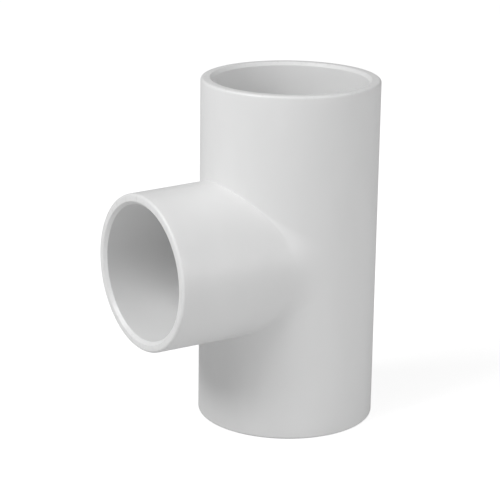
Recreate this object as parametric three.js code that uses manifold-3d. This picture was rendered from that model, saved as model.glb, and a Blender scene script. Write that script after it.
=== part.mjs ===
// Socket tee for solvent-weld PVC pressure pipe: a 1 1/2 inch run with a 1 1/4 inch branch.
// It is one injection moulding. Millimetres, +Z up along the run, the branch leaves along -X, and
// the origin is the centre of the bounding box's bottom face.
import * as THREE from "three";
import { mergeVertices } from "three/addons/utils/BufferGeometryUtils.js";
import Module from "manifold-3d";

// Run: a straight barrel with a socket at each end.
const RUN_LENGTH = 109.6;
const RUN_OUTER_RADIUS = 28.2;
const RUN_WATERWAY_RADIUS = 22.15;
const RUN_SOCKET = { mouthRadius: 24.28, baseRadius: 24.05, depth: 27.8 };

// Branch: centred on the run's height. Its outside is round at the rim, and widens a little towards
// the run, more across than up and down.
const BRANCH_REACH = 55;
const BRANCH_OUTER_RADIUS = 24.55;
const BRANCH_ROOT_HALF_WIDTH = 27;
const BRANCH_ROOT_HALF_HEIGHT = 25;
const BRANCH_WATERWAY_RADIUS = 19.1;
const BRANCH_SOCKET = { mouthRadius: 21.2, baseRadius: 20.98, depth: 29 };

// Edges, the same at all three rims.
const RIM_ROUNDING = 0.9;
const RIM_ROUNDING_STEPS = 4;
const ENTRY_CHAMFER = 1.0;

const SEGMENTS = 96;
const OVERSHOOT = 2;
const MERGE_DISTANCE = 1e-4;
const RUN_AXIS_X = (BRANCH_REACH - RUN_OUTER_RADIUS) / 2;

const WHITE_PVC = { color: 0xe9eaea, roughness: 0.38, metalness: 0 };

const wasm = await Module();
wasm.setup();

// A closed three.js geometry as a solid that can be joined and cut.
function solidOf(geometry) {
  const bare = geometry.clone();
  bare.deleteAttribute("normal");
  bare.deleteAttribute("uv");
  const merged = mergeVertices(bare, MERGE_DISTANCE);
  return new wasm.Manifold(
    new wasm.Mesh({
      numProp: 3,
      vertProperties: merged.attributes.position.array,
      triVerts: new Uint32Array(merged.index.array),
    }),
  );
}

// A solid as a geometry for a mesh.
function geometryOf(solid) {
  const { vertProperties, triVerts } = solid.getMesh();
  const geometry = new THREE.BufferGeometry();
  geometry.setAttribute("position", new THREE.BufferAttribute(vertProperties, 3));
  geometry.setIndex(new THREE.BufferAttribute(triVerts, 1));
  geometry.computeVertexNormals();
  return geometry;
}

// A quarter round from the barrel's side, at RIM_ROUNDING below its end, to the end face.
function roundedRim(radius, end) {
  return Array.from({ length: RIM_ROUNDING_STEPS + 1 }, (_, step) => {
    const turn = (step / RIM_ROUNDING_STEPS) * (Math.PI / 2);
    return new THREE.Vector2(
      radius - RIM_ROUNDING * (1 - Math.cos(turn)),
      end - RIM_ROUNDING * (1 - Math.sin(turn)),
    );
  });
}

// A socket's outline from outside its mouth to the shoulder that stops the pipe: a 45 degree entry
// chamfer, the tapered wall and the shoulder. Each point is (radius, distance in from the rim).
function socketOutline(socket, waterwayRadius) {
  const flared = socket.mouthRadius + ENTRY_CHAMFER + OVERSHOOT;
  return [
    new THREE.Vector2(flared, -OVERSHOOT),
    new THREE.Vector2(socket.mouthRadius, ENTRY_CHAMFER),
    new THREE.Vector2(socket.baseRadius, socket.depth),
    new THREE.Vector2(waterwayRadius, socket.depth),
  ];
}

// An outline of (radius, height) points turned about Z.
function turnedAboutZ(outline) {
  return new THREE.LatheGeometry(outline, SEGMENTS).rotateX(Math.PI / 2);
}

// An outline of (radius, distance from the run's axis) points turned about the branch's axis.
function turnedAboutBranch(outline) {
  return turnedAboutZ(outline)
    .rotateY(-Math.PI / 2)
    .translate(0, 0, RUN_LENGTH / 2);
}

// The run's outside, with both rims rounded.
function runBarrel() {
  const upperRim = roundedRim(RUN_OUTER_RADIUS, RUN_LENGTH);
  const lowerRim = upperRim.map(({ x, y }) => new THREE.Vector2(x, RUN_LENGTH - y)).reverse();
  return turnedAboutZ([
    new THREE.Vector2(0, 0),
    ...lowerRim,
    ...upperRim,
    new THREE.Vector2(0, RUN_LENGTH),
  ]);
}

// Widens a branch geometry in proportion to its distance from the rim.
function widenedTowardsRun(geometry) {
  const position = geometry.attributes.position;
  const extraWidth = BRANCH_ROOT_HALF_WIDTH / BRANCH_OUTER_RADIUS - 1;
  const extraHeight = BRANCH_ROOT_HALF_HEIGHT / BRANCH_OUTER_RADIUS - 1;
  const middle = RUN_LENGTH / 2;
  for (let i = 0; i < position.count; i++) {
    const towardsRun = 1 + position.getX(i) / BRANCH_REACH;
    const y = position.getY(i) * (1 + extraWidth * towardsRun);
    const z = middle + (position.getZ(i) - middle) * (1 + extraHeight * towardsRun);
    position.setXYZ(i, position.getX(i), y, z);
  }
  return geometry;
}

// The branch's outside, from the run's axis to its rounded rim.
function branchBarrel() {
  return widenedTowardsRun(
    turnedAboutBranch([
      new THREE.Vector2(0, 0),
      new THREE.Vector2(BRANCH_OUTER_RADIUS, 0),
      ...roundedRim(BRANCH_OUTER_RADIUS, BRANCH_REACH),
      new THREE.Vector2(0, BRANCH_REACH),
    ]),
  );
}

// The space inside the run: a socket at each end and the waterway between them.
function runBore() {
  const lower = socketOutline(RUN_SOCKET, RUN_WATERWAY_RADIUS);
  const upper = lower.map(({ x, y }) => new THREE.Vector2(x, RUN_LENGTH - y)).reverse();
  return turnedAboutZ([
    new THREE.Vector2(0, -OVERSHOOT),
    ...lower,
    ...upper,
    new THREE.Vector2(0, RUN_LENGTH + OVERSHOOT),
  ]);
}

// The space inside the branch, from the run's axis out through its socket.
function branchBore() {
  const socket = socketOutline(BRANCH_SOCKET, BRANCH_WATERWAY_RADIUS);
  const outward = socket.map(({ x, y }) => new THREE.Vector2(x, BRANCH_REACH - y)).reverse();
  return turnedAboutBranch([
    new THREE.Vector2(0, 0),
    new THREE.Vector2(BRANCH_WATERWAY_RADIUS, 0),
    ...outward,
    new THREE.Vector2(0, BRANCH_REACH + OVERSHOOT),
  ]);
}

// The whole moulding: both barrels joined, then hollowed by both bores.
function teeBody() {
  const outside = solidOf(runBarrel()).add(solidOf(branchBarrel()));
  const hollowed = outside.subtract(solidOf(runBore())).subtract(solidOf(branchBore()));
  const mesh = new THREE.Mesh(geometryOf(hollowed), new THREE.MeshStandardMaterial(WHITE_PVC));
  mesh.name = "tee_body";
  return mesh;
}

const tee = new THREE.Group();
tee.add(teeBody());
tee.position.x = RUN_AXIS_X;

export default tee;
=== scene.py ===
"""Socket tee for solvent-weld pipe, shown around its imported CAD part.

The CAD solid tee_body gives the size. One closed mesh of the same moulding stands for it, with its crease
fillet, rounded rims, tapered sockets, mould line and gate mark. Metres, +Z up, the branch leaves along -X.
"""
import math

import bmesh
import bpy
import numpy as np
from mathutils import Matrix, Vector


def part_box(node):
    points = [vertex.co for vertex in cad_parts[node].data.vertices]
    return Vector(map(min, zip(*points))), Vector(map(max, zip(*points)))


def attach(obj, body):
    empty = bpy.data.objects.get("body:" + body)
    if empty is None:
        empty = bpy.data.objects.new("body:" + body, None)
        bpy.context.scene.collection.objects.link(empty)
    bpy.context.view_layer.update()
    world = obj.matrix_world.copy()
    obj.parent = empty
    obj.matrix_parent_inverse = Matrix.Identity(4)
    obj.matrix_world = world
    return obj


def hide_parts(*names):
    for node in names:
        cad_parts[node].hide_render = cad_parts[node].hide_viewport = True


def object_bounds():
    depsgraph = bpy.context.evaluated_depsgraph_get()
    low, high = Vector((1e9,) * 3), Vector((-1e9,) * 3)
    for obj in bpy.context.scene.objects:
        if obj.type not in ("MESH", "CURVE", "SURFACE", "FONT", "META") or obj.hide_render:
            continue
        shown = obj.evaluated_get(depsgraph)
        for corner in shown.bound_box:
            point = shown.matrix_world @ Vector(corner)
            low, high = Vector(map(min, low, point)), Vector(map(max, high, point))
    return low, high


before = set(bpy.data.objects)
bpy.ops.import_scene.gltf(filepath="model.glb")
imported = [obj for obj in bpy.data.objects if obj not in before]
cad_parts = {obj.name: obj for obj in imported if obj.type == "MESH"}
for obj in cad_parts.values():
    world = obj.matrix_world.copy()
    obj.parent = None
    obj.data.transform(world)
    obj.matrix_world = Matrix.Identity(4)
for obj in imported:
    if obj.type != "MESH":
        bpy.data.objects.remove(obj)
cad_low, cad_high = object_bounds()

MM = 0.001
NODE = "tee_body"

# The moulding's outside, from the CAD box.
node_low, node_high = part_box(NODE)
RUN_LENGTH = node_high.z - node_low.z
RUN_RADIUS = (node_high.y - node_low.y) / 2
AXIS_X = node_high.x - RUN_RADIUS
BRANCH_REACH = AXIS_X - node_low.x
HALF = RUN_LENGTH / 2

# Sizes that the box doesn't give, the same as in the CAD part.
BRANCH_RADIUS = 24.55 * MM
BRANCH_ROOT_HALF_WIDTH = 27 * MM
BRANCH_ROOT_HALF_HEIGHT = 25 * MM
RUN_SOCKET = {"mouth": 24.28 * MM, "base": 24.05 * MM, "depth": 27.8 * MM, "waterway": 22.15 * MM}
BRANCH_SOCKET = {"mouth": 21.2 * MM, "base": 20.98 * MM, "depth": 29 * MM, "waterway": 19.1 * MM}
RIM_ROUNDING = 0.9 * MM
ENTRY_CHAMFER = 1.0 * MM

# ---------------------------------------------------------------- camera

CAMERA_AZIMUTH = math.radians(-34.6)
CAMERA_ELEVATION = math.radians(16.8)
CAMERA_ROLL = math.radians(0.82)
CAMERA_DISTANCE = 21.73 * RUN_RADIUS
AIM_RIGHT = -0.425 * RUN_RADIUS
AIM_UP = -0.042 * RUN_RADIUS
LENS_MM = 138.3
SENSOR_MM = 36
NEAREST_SHOWN = 0.01
FURTHEST_SHOWN = 100


def add_camera():
    """A long lens, a little above the fitting and on its branch side."""
    cos_e = math.cos(CAMERA_ELEVATION)
    back = Vector(
        (math.sin(CAMERA_AZIMUTH) * cos_e, -math.cos(CAMERA_AZIMUTH) * cos_e, math.sin(CAMERA_ELEVATION))
    )
    level = Vector((math.cos(CAMERA_AZIMUTH), math.sin(CAMERA_AZIMUTH), 0))
    right = Matrix.Rotation(CAMERA_ROLL, 3, back) @ level
    up = back.cross(right)
    aim = Vector((AXIS_X, 0, HALF)) + AIM_RIGHT * right + AIM_UP * up
    data = bpy.data.cameras.new("camera")
    data.lens = LENS_MM
    data.sensor_width = SENSOR_MM
    data.clip_start = NEAREST_SHOWN
    data.clip_end = FURTHEST_SHOWN
    camera = bpy.data.objects.new("camera", data)
    turn = Matrix((right, up, back)).transposed().to_4x4()
    camera.matrix_world = Matrix.Translation(aim + back * CAMERA_DISTANCE) @ turn
    bpy.context.scene.collection.objects.link(camera)
    bpy.context.scene.camera = camera


# ---------------------------------------------------------------- mesh
# Points are (u, y, h): u from the run's axis towards the branch, y across, h above the branch's axis.
# Round the branch, phi is 0 at the top and 90 degrees at +y. Round the run, theta is 0 at the branch.

# The patch of the run's wall round the branch: its half turn, and its half height outside and inside.
PATCH_TURN = math.radians(120)
OUTER_PATCH_HEIGHT = 36 * MM
INNER_PATCH_HEIGHT = 22.8 * MM

# Where on the branch, outside and inside, the junction's part of the mesh ends.
OUTER_STRAIGHT_START = 31 * MM
INNER_STRAIGHT_START = 24 * MM

# Sampling round a barrel: out to each distance from the mould line, and then the rest, with this step.
SAMPLE_BANDS = ((0.6 * MM, 0.1 * MM), (3.2 * MM, 0.29 * MM), (None, 1.2 * MM))
LONGEST_STEP = 3 * MM
ARC_STEPS = 8
STRIP_STEPS = 12
PATCH_STEPS = 20

# The crease fillet's reach: at the top and bottom of the branch, at its sides, and inside.
CREASE_SETBACK = 0.22 * MM
SIDE_SETBACK = 7 * MM
SIDE_SHARPNESS = 8
INNER_SETBACK = 0.6 * MM
FILLET_HANDLE = 0.56
NEWTON_START = 0.7
NEWTON_STEPS = 30

RING_ROUNDING = 0.2 * MM
CHAMFER_ROUNDING = 0.3 * MM
BASE_ROUNDING = 0.4 * MM
SHOULDER_ROUNDING = 0.5 * MM

MOULD_LINE_HEIGHT = 0.04 * MM
MOULD_LINE_HALF_WIDTH = 0.25 * MM
SKIN_RADIUS = RUN_RADIUS - MOULD_LINE_HEIGHT
OUTSIDE_RADIUS = RUN_SOCKET["mouth"] + 2 * MM

GATE_RADIUS = 3.1 * MM
GATE_DEPTH = 0.35 * MM
GATE_EDGE = 0.45 * MM
NIB_RADIUS = 1.1 * MM
NIB_HEIGHT = 0.25 * MM

RIM_SHARE = "rim_share"
RIM_WEAR_REACH = 1.6 * MM


def samples(reach):
    """Positions from -reach to reach, closer together near 0 and alike on both sides."""
    half, start = [0.0], 0.0
    for until, step in SAMPLE_BANDS:
        end = reach if until is None else until
        count = max(1, round((end - start) / step))
        half += [start + (end - start) * (i + 1) / count for i in range(count)]
        start = end
    half = np.array(half)
    return np.concatenate([-half[:0:-1], half])


FRONT_THETA = samples(SKIN_RADIUS * PATCH_TURN) / SKIN_RADIUS
BACK_THETA = math.pi + samples(SKIN_RADIUS * (math.pi - PATCH_TURN)) / SKIN_RADIUS
ROUND_THETA = np.concatenate([FRONT_THETA, BACK_THETA[1:-1]])
SIDE_SHARE = samples(OUTER_PATCH_HEIGHT) / OUTER_PATCH_HEIGHT

# The junction patch's four sides, once round: where each point lies, as shares of the patch's half sizes.
LOOP_ACROSS = np.concatenate(
    [FRONT_THETA[:-1] / PATCH_TURN, np.ones(len(SIDE_SHARE) - 1), -FRONT_THETA[:-1] / PATCH_TURN,
     -np.ones(len(SIDE_SHARE) - 1)]
)
LOOP_UP = np.concatenate(
    [np.ones(len(FRONT_THETA) - 1), -SIDE_SHARE[:-1], -np.ones(len(FRONT_THETA) - 1), SIDE_SHARE[:-1]]
)
QUARTER = math.pi / 2
LOOP_PHI = np.concatenate(
    [QUARTER / 2 * FRONT_THETA[:-1] / PATCH_TURN, QUARTER * (1 + SIDE_SHARE[:-1] / 2),
     QUARTER * (2 + FRONT_THETA[:-1] / PATCH_TURN / 2), QUARTER * (3 + SIDE_SHARE[:-1] / 2)]
)


class Skin:
    """Grids of points, gathered into one mesh whose shared edges are welded."""

    def __init__(self):
        self.points = []
        self.faces = []
        self.count = 0

    def add(self, grid, closed):
        """grid is (rows, columns, 3). A closed grid's last column joins its first."""
        rows, columns, _ = grid.shape
        index = self.count + np.arange(rows * columns).reshape(rows, columns)
        right = np.roll(index, -1, axis=1)
        wide = columns if closed else columns - 1
        a, b = index[:-1, :wide], right[:-1, :wide]
        c, d = right[1:, :wide], index[1:, :wide]
        self.points.append(grid.reshape(-1, 3))
        self.faces.append(np.stack([a, b, c, d], axis=-1).reshape(-1, 4))
        self.count += rows * columns

    def mesh(self, name):
        """The welded mesh in the row frame, its faces pointing out."""
        local = np.concatenate(self.points)
        world = np.stack([AXIS_X - local[:, 0], local[:, 1], HALF + local[:, 2]], axis=1)
        data = bpy.data.meshes.new(name)
        data.from_pydata(world.tolist(), [], np.concatenate(self.faces).tolist())
        work = bmesh.new()
        work.from_mesh(data)
        bmesh.ops.remove_doubles(work, verts=work.verts, dist=0.001 * MM)
        bmesh.ops.recalc_face_normals(work, faces=work.faces)
        work.to_mesh(data)
        work.free()
        return data


def rounded_path(corners):
    """Points along straight lines and round corners, each corner given as (along, radius, rounding)."""
    points = [np.array(corners[0][:2])]
    for before, corner, after in zip(corners, corners[1:], corners[2:]):
        tip, rounding = np.array(corner[:2]), corner[2]
        into = np.array(before[:2]) - tip
        out = np.array(after[:2]) - tip
        into /= np.linalg.norm(into)
        out /= np.linalg.norm(out)
        half_angle = math.acos(into @ out) / 2
        middle = (into + out) / np.linalg.norm(into + out)
        centre = tip + middle * rounding / math.sin(half_angle)
        start = tip + into * rounding / math.tan(half_angle) - centre
        end = tip + out * rounding / math.tan(half_angle) - centre
        sweep = math.pi - 2 * half_angle
        for share in np.linspace(0, 1, ARC_STEPS + 1):
            arm = math.sin((1 - share) * sweep) * start + math.sin(share * sweep) * end
            points.append(centre + arm / math.sin(sweep))
    points.append(np.array(corners[-1][:2]))
    path = [points[0]]
    for a, b in zip(points, points[1:]):
        count = max(1, math.ceil(np.linalg.norm(b - a) / LONGEST_STEP))
        path += [a + (b - a) * (i + 1) / count for i in range(count)]
    return np.array(path)


def socket_corners(socket, rim, ring_middle, inner_end):
    """From the middle of a rim's flat ring, over the entry chamfer and down the socket to the waterway."""
    return [
        (rim, ring_middle, 0),
        (rim, socket["mouth"] + ENTRY_CHAMFER, RING_ROUNDING),
        (rim - ENTRY_CHAMFER, socket["mouth"], CHAMFER_ROUNDING),
        (rim - socket["depth"], socket["base"], BASE_ROUNDING),
        (rim - socket["depth"], socket["waterway"], SHOULDER_ROUNDING),
        (inner_end, socket["waterway"], 0),
    ]


def barrel_corners(radius, start, rim, ring_middle):
    """From a barrel's side, over its rounded rim, to the middle of the flat ring."""
    return [(start, radius, 0), (rim, radius, RIM_ROUNDING), (rim, ring_middle, 0)]


def on_run(radius, theta, height):
    """Points on a cylinder round the run's axis."""
    theta, height = np.broadcast_arrays(theta, height)
    return np.stack([radius * np.cos(theta), radius * np.sin(theta), height], axis=-1)


def add_run_end(skin, side):
    """One end of the run, outside and inside. side is 1 for the upper end and -1 for the lower."""
    ring_middle = (SKIN_RADIUS + RUN_SOCKET["mouth"]) / 2
    outside = rounded_path(barrel_corners(SKIN_RADIUS, OUTER_PATCH_HEIGHT, HALF, ring_middle))
    inside = rounded_path(socket_corners(RUN_SOCKET, HALF, ring_middle, INNER_PATCH_HEIGHT))
    for path in (outside, inside):
        height, radius = path[:, :1], path[:, 1:]
        skin.add(on_run(radius, ROUND_THETA[None, :], side * height), closed=True)


def branch_widths(u):
    """The branch's outer half width and half height at u. Both change evenly from rim to run."""
    towards_run = 1 - u / BRANCH_REACH
    half_width = BRANCH_RADIUS + (BRANCH_ROOT_HALF_WIDTH - BRANCH_RADIUS) * towards_run
    half_height = BRANCH_RADIUS + (BRANCH_ROOT_HALF_HEIGHT - BRANCH_RADIUS) * towards_run
    return half_width, half_height


def waterway_widths(u):
    """The branch waterway's half width and half height, the same all along."""
    return BRANCH_SOCKET["waterway"] + 0 * u, BRANCH_SOCKET["waterway"] + 0 * u


def on_branch(widths, u, phi):
    """Points on a surface round the branch's axis."""
    u, phi = np.broadcast_arrays(u, phi)
    half_width, half_height = widths(u)
    return np.stack([u, half_width * np.sin(phi), half_height * np.cos(phi)], axis=-1)


def crease_at(radius, widths, phi):
    """Where the branch surface meets the run's cylinder: u for each phi, by Newton's method."""
    u = np.full_like(phi, radius * NEWTON_START)
    for _ in range(NEWTON_STEPS):
        half_width, _ = widths(u)
        slope = (widths(u + MM)[0] - half_width) / MM
        across = half_width * np.sin(phi)
        u = u - (u * u + across * across - radius * radius) / (2 * u + 2 * across * slope * np.sin(phi))
    return u


def smooth_step(share):
    """From 0 to 1, with a level start and end."""
    share = np.clip(share, 0, 1)
    return share * share * (3 - 2 * share)


def unit(vectors):
    """The vectors at length 1."""
    return vectors / np.linalg.norm(vectors, axis=-1, keepdims=True)


def add_junction(skin, radius, widths, patch_height, setback, straight_start):
    """The run's wall round the branch, the rounded strip along the crease, and the branch's first stretch."""
    phi = LOOP_PHI
    u = crease_at(radius, widths, phi)
    crease = on_branch(widths, u, phi)
    theta = np.arctan2(crease[:, 1], crease[:, 0])

    # Away from the crease, square to it, on the unrolled run.
    flat = np.stack([radius * theta, crease[:, 2]], axis=-1)
    along = np.roll(flat, -1, axis=0) - np.roll(flat, 1, axis=0)
    away = unit(np.stack([-along[:, 1], along[:, 0]], axis=-1))
    run_flat = flat + away * setback[:, None]
    run_theta = run_flat[:, 0] / radius
    run_edge = on_run(radius, run_theta, run_flat[:, 1])
    run_slope = np.stack(
        [-np.sin(run_theta) * away[:, 0], np.cos(run_theta) * away[:, 0], away[:, 1]], axis=-1
    )
    branch_edge = on_branch(widths, u + setback, phi)
    branch_slope = unit(on_branch(widths, u + setback + MM, phi) - branch_edge)

    share = np.linspace(0, 1, STRIP_STEPS + 1)[:, None, None]
    handle = FILLET_HANDLE * setback[:, None]
    controls = (branch_edge, branch_edge - branch_slope * handle, run_edge - run_slope * handle, run_edge)
    weights = ((1 - share) ** 3, 3 * share * (1 - share) ** 2, 3 * share**2 * (1 - share), share**3)
    strip = sum(weight * control[None] for weight, control in zip(weights, controls))
    skin.add(strip, closed=True)

    border = np.stack([radius * PATCH_TURN * LOOP_ACROSS, patch_height * LOOP_UP], axis=-1)
    share = np.linspace(0, 1, PATCH_STEPS + 1)[:, None, None]
    patch = run_flat[None] + (border - run_flat)[None] * share
    skin.add(on_run(radius, patch[..., 0] / radius, patch[..., 1]), closed=True)
    side = -patch_height * SIDE_SHARE[:, None]
    skin.add(on_run(radius, BACK_THETA[None, :], side), closed=False)

    start = u + setback
    count = math.ceil((straight_start - start.min()) / LONGEST_STEP)
    share = np.linspace(0, 1, count + 1)[:, None]
    skin.add(on_branch(widths, start + (straight_start - start) * share, phi[None, :]), closed=True)


def add_branch_end(skin):
    """The branch from where it is clear of the run out to its rim, and back down its socket."""
    ring_middle = (BRANCH_RADIUS + BRANCH_SOCKET["mouth"]) / 2
    outside = rounded_path(
        barrel_corners(BRANCH_RADIUS, OUTER_STRAIGHT_START, BRANCH_REACH, ring_middle)
    )
    inside = rounded_path(
        socket_corners(BRANCH_SOCKET, BRANCH_REACH, ring_middle, INNER_STRAIGHT_START)
    )
    outer_points = on_branch(branch_widths, outside[:, :1], LOOP_PHI[None, :])
    outer_points[..., 1:] *= outside[:, 1:, None] / BRANCH_RADIUS
    skin.add(outer_points, closed=True)
    u, radius = inside[:, :1], inside[:, 1:]
    ring = np.stack(
        np.broadcast_arrays(u, radius * np.sin(LOOP_PHI[None, :]), radius * np.cos(LOOP_PHI[None, :])),
        axis=-1,
    )
    skin.add(ring, closed=True)


def add_mould_line(place, normal):
    """Raises a hair line where the two halves of the mould met, all round the outside in the XZ plane."""
    from_axis = np.hypot(place[:, 0] - AXIS_X, place[:, 1])
    u = AXIS_X - place[:, 0]
    height = np.abs(place[:, 2] - HALF)
    outside = (from_axis > OUTSIDE_RADIUS) & (u < SKIN_RADIUS + MM)
    outside |= (height > BRANCH_RADIUS - MM) & (u > 0)
    outside &= height < HALF - RIM_ROUNDING
    outside &= u < BRANCH_REACH - RIM_ROUNDING
    rise = np.clip(1 - (place[:, 1] / MOULD_LINE_HALF_WIDTH) ** 2, 0, None) * MOULD_LINE_HEIGHT
    place += normal * (rise * outside)[:, None]


def add_gate_mark(place, normal):
    """Sinks the round gate recess into the run's back, around the trimmed nib that the sprue left."""
    u = AXIS_X - place[:, 0]
    on_back = (u < 0) & (np.hypot(u, place[:, 1]) > OUTSIDE_RADIUS)
    from_gate = np.hypot(SKIN_RADIUS * np.arctan2(place[:, 1], -u), place[:, 2] - HALF)
    recess = GATE_DEPTH * smooth_step((GATE_RADIUS - from_gate) / GATE_EDGE)
    nib = NIB_HEIGHT * smooth_step((NIB_RADIUS - from_gate) / GATE_EDGE)
    place -= normal * ((recess - nib) * on_back)[:, None]


def rim_share(place):
    """How close each point is to a rim: 1 at the rim, 0 from RIM_WEAR_REACH inwards."""
    from_run_rim = HALF - np.abs(place[:, 2] - HALF)
    from_branch_rim = BRANCH_REACH - (AXIS_X - place[:, 0])
    return np.clip(1 - np.minimum(from_run_rim, from_branch_rim) / RIM_WEAR_REACH, 0, 1)


def add_marks(data):
    """The mould line, the gate mark, and the attribute that the material scuffs the rims by."""
    place = np.empty(len(data.vertices) * 3)
    normal = np.empty_like(place)
    data.vertices.foreach_get("co", place)
    data.vertices.foreach_get("normal", normal)
    place, normal = place.reshape(-1, 3), normal.reshape(-1, 3)
    add_mould_line(place, normal)
    add_gate_mark(place, normal)
    data.vertices.foreach_set("co", place.ravel())
    data.attributes.new(RIM_SHARE, "FLOAT", "POINT").data.foreach_set("value", rim_share(place))
    data.update()


def tee_mesh():
    """The whole moulding as one closed mesh."""
    skin = Skin()
    sideways = np.abs(np.sin(LOOP_PHI)) ** SIDE_SHARPNESS
    outer_setback = CREASE_SETBACK + (SIDE_SETBACK - CREASE_SETBACK) * sideways
    inner_setback = np.full_like(LOOP_PHI, INNER_SETBACK)
    add_junction(skin, SKIN_RADIUS, branch_widths, OUTER_PATCH_HEIGHT, outer_setback, OUTER_STRAIGHT_START)
    add_junction(
        skin, RUN_SOCKET["waterway"], waterway_widths, INNER_PATCH_HEIGHT, inner_setback, INNER_STRAIGHT_START
    )
    add_run_end(skin, 1)
    add_run_end(skin, -1)
    add_branch_end(skin)
    data = skin.mesh("tee")
    add_marks(data)
    data.shade_smooth()
    return data


# ---------------------------------------------------------------- material


class Nodes:
    """Short ways to make and join a material's nodes."""

    def __init__(self, name):
        self.material = bpy.data.materials.new(name)
        self.material.use_nodes = True
        self.tree = self.material.node_tree
        self.shader = self.tree.nodes["Principled BSDF"]
        self.place = self.tree.nodes.new("ShaderNodeTexCoord").outputs["Object"]

    def join(self, source, target):
        self.tree.links.new(source, target)

    def noise(self, scale, detail, roughness, stretch=(1, 1, 1)):
        """Noise of so many cells per metre, stretched by a factor along each axis."""
        mapping = self.tree.nodes.new("ShaderNodeMapping")
        mapping.inputs["Scale"].default_value = [1 / factor for factor in stretch]
        self.join(self.place, mapping.inputs["Vector"])
        noise = self.tree.nodes.new("ShaderNodeTexNoise")
        noise.inputs["Scale"].default_value = scale
        noise.inputs["Detail"].default_value = detail
        noise.inputs["Roughness"].default_value = roughness
        self.join(mapping.outputs["Vector"], noise.inputs["Vector"])
        return noise.outputs["Fac"]

    def eased(self, value, source, target=(0.0, 1.0)):
        """The value's stretch from source's low to its high, eased from target's low to its high."""
        node = self.tree.nodes.new("ShaderNodeMapRange")
        node.interpolation_type = "SMOOTHSTEP"
        node.inputs["From Min"].default_value, node.inputs["From Max"].default_value = source
        node.inputs["To Min"].default_value, node.inputs["To Max"].default_value = target
        self.join(value, node.inputs["Value"])
        return node.outputs["Result"]

    def combined(self, operation, first, second):
        """Two values put together by a math operation."""
        node = self.tree.nodes.new("ShaderNodeMath")
        node.operation = operation
        self.join(first, node.inputs[0])
        self.join(second, node.inputs[1])
        return node.outputs["Value"]

    def attribute(self, name):
        """A value that the mesh holds at each point."""
        node = self.tree.nodes.new("ShaderNodeAttribute")
        node.attribute_name = name
        return node.outputs["Fac"]

    def blend(self, share, first, second):
        """From the first colour to the second. Each is a colour or another node's output."""
        node = self.tree.nodes.new("ShaderNodeMix")
        node.data_type = "RGBA"
        self.join(share, node.inputs["Factor"])
        for socket, colour in (("A_Color", first), ("B_Color", second)):
            target = next(entry for entry in node.inputs if entry.identifier == socket)
            if isinstance(colour, tuple):
                target.default_value = (*colour, 1)
            else:
                self.join(colour, target)
        return next(entry for entry in node.outputs if entry.identifier == "Result_Color")

    def bump(self, height, depth, below=None):
        """Relief of so many metres between the height's 0 and 1, on top of another relief."""
        node = self.tree.nodes.new("ShaderNodeBump")
        node.inputs["Distance"].default_value = depth
        self.join(height, node.inputs["Height"])
        if below is not None:
            self.join(below, node.inputs["Normal"])
        return node.outputs["Normal"]


# Noises of the material: cells per metre, detail, roughness and stretch along each axis.
CLOUDS = {"scale": 34, "detail": 3, "roughness": 0.55, "stretch": (1, 1, 2.2)}
HAZE = {"scale": 260, "detail": 4, "roughness": 0.6}
GRAIN = {"scale": 2600, "detail": 2, "roughness": 0.5}
RIPPLE = {"scale": 150, "detail": 2, "roughness": 0.4}
SCRATCHES = {"scale": 700, "detail": 4, "roughness": 0.7, "stretch": (1, 1, 3)}

# The stretch of each noise that matters.
CLOUD_RANGE = (0.3, 0.7)
HAZE_RANGE = (0.25, 0.75)
SCRATCH_RANGE = (0.5, 0.72)
WORN_RIM_RANGE = (0.15, 1.0)

MOST_SCUFFED = 0.7
SATIN_ROUGHNESS = (0.36, 0.46)
SCUFF_ROUGHNESS = (0.0, 0.2)
RIPPLE_DEPTH = 0.05 * MM
GRAIN_DEPTH = 0.008 * MM
SCUFF_DEPTH = 0.03 * MM

PVC_DEEP = (0.773, 0.7745, 0.774)
PVC_LIGHT = (0.803, 0.8045, 0.804)
PVC_SCUFFED = (0.7, 0.7, 0.695)
PVC_REFRACTION = 1.53


def white_pvc():
    """Moulded white PVC: satin, faintly clouded by its flow, finely grained, scuffed at the rims."""
    nodes = Nodes("white_pvc")
    clouds = nodes.noise(**CLOUDS)
    haze = nodes.noise(**HAZE)
    grain = nodes.noise(**GRAIN)
    ripple = nodes.noise(**RIPPLE)
    scratches = nodes.noise(**SCRATCHES)

    colour = nodes.blend(nodes.eased(clouds, CLOUD_RANGE), PVC_DEEP, PVC_LIGHT)
    rim = nodes.eased(nodes.attribute(RIM_SHARE), WORN_RIM_RANGE)
    scratched = nodes.eased(scratches, SCRATCH_RANGE, (0.0, MOST_SCUFFED))
    scuff = nodes.combined("MULTIPLY", rim, scratched)
    colour = nodes.blend(scuff, colour, PVC_SCUFFED)
    nodes.join(colour, nodes.shader.inputs["Base Color"])

    satin = nodes.eased(haze, HAZE_RANGE, SATIN_ROUGHNESS)
    worn = nodes.eased(scuff, (0.0, MOST_SCUFFED), SCUFF_ROUGHNESS)
    nodes.join(nodes.combined("ADD", satin, worn), nodes.shader.inputs["Roughness"])

    relief = nodes.bump(ripple, RIPPLE_DEPTH)
    relief = nodes.bump(grain, GRAIN_DEPTH, below=relief)
    relief = nodes.bump(scuff, -SCUFF_DEPTH, below=relief)
    nodes.join(relief, nodes.shader.inputs["Normal"])
    nodes.shader.inputs["IOR"].default_value = PVC_REFRACTION
    return nodes.material


# ---------------------------------------------------------------- stage and light

FLOOR_HALF_WIDTH = 8.0
FLOOR_WHITENESS = 0.5
FLOOR_ROUGHNESS = 0.9
SEEN_GLOW = 0.75
REFLECTOR_GLOW = 0.12
REFLECTOR_DROP = 1 * MM
ROOM_LIGHT = 0.31


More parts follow.
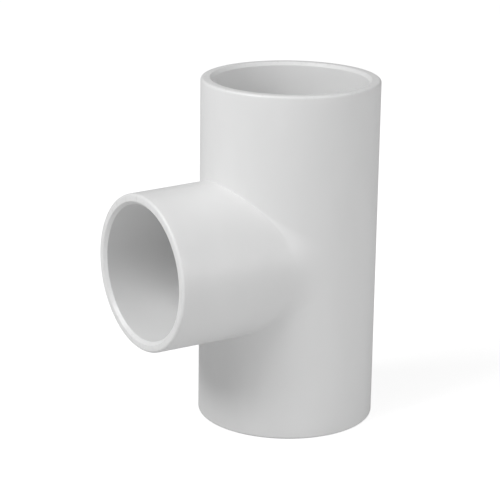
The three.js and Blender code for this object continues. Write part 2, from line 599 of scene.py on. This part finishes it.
def add_sheet(name, level, glow):
    """A flat, matt, square sheet, far larger than the view, which glows faintly white."""
    half = FLOOR_HALF_WIDTH
    data = bpy.data.meshes.new(name)
    corners = [(-half, -half, level), (half, -half, level), (half, half, level), (-half, half, level)]
    data.from_pydata(corners, [], [(0, 1, 2, 3)])
    sheet = bpy.data.objects.new(name, data)
    bpy.context.scene.collection.objects.link(sheet)
    material = bpy.data.materials.new(name)
    material.use_nodes = True
    shader = material.node_tree.nodes["Principled BSDF"]
    shader.inputs["Base Color"].default_value = (*[FLOOR_WHITENESS] * 3, 1)
    shader.inputs["Roughness"].default_value = FLOOR_ROUGHNESS
    shader.inputs["Emission Color"].default_value = (1, 1, 1, 1)
    shader.inputs["Emission Strength"].default_value = glow
    data.materials.append(material)
    return sheet


def add_floor():
    """The white floor that only the camera sees, and just under it one that lights the fitting."""
    seen = add_sheet("floor", 0, SEEN_GLOW)
    seen.visible_diffuse = False
    seen.visible_glossy = False
    seen.visible_shadow = False
    reflector = add_sheet("floor_reflector", -REFLECTOR_DROP, REFLECTOR_GLOW)
    reflector.visible_camera = False


# Softboxes: degrees round from the camera to its right, degrees up, and watts.
SOFTBOXES = {
    "key": (-60, 45, 14.0),
    "front_key": (-45, 45, 3.8),
    "fill": (45, 20, 4.3),
    "low_fill": (60, 5, 3.4),
}
SOFTBOX_WIDTH = 0.9
SOFTBOX_DISTANCE = 1.6


def add_softboxes():
    """Round softboxes, all facing the middle of the fitting."""
    middle = (cad_low + cad_high) / 2
    for name, (turn, elevation, watts) in SOFTBOXES.items():
        azimuth = CAMERA_AZIMUTH + math.radians(turn)
        elevation = math.radians(elevation)
        outward = Vector((math.sin(azimuth), -math.cos(azimuth), math.tan(elevation))).normalized()
        data = bpy.data.lights.new(name, "AREA")
        data.shape = "DISK"
        data.size = SOFTBOX_WIDTH
        data.energy = watts
        light = bpy.data.objects.new(name, data)
        turned = outward.to_track_quat("Z", "Y").to_matrix().to_4x4()
        light.matrix_world = Matrix.Translation(middle + outward * SOFTBOX_DISTANCE) @ turned
        bpy.context.scene.collection.objects.link(light)


def add_world(strength):
    """A dim, even, white room around the softboxes."""
    world = bpy.data.worlds.new("world")
    bpy.context.scene.world = world
    world.use_nodes = True
    background = world.node_tree.nodes["Background"]
    background.inputs["Color"].default_value = (1, 1, 1, 1)
    background.inputs["Strength"].default_value = strength


add_camera()
tee = bpy.data.objects.new("tee", tee_mesh())
bpy.context.scene.collection.objects.link(tee)
tee.data.materials.append(white_pvc())
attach(tee, "root")
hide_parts(NODE)
add_floor()
add_softboxes()
add_world(ROOM_LIGHT)
bpy.context.scene.view_settings.view_transform = "Standard"
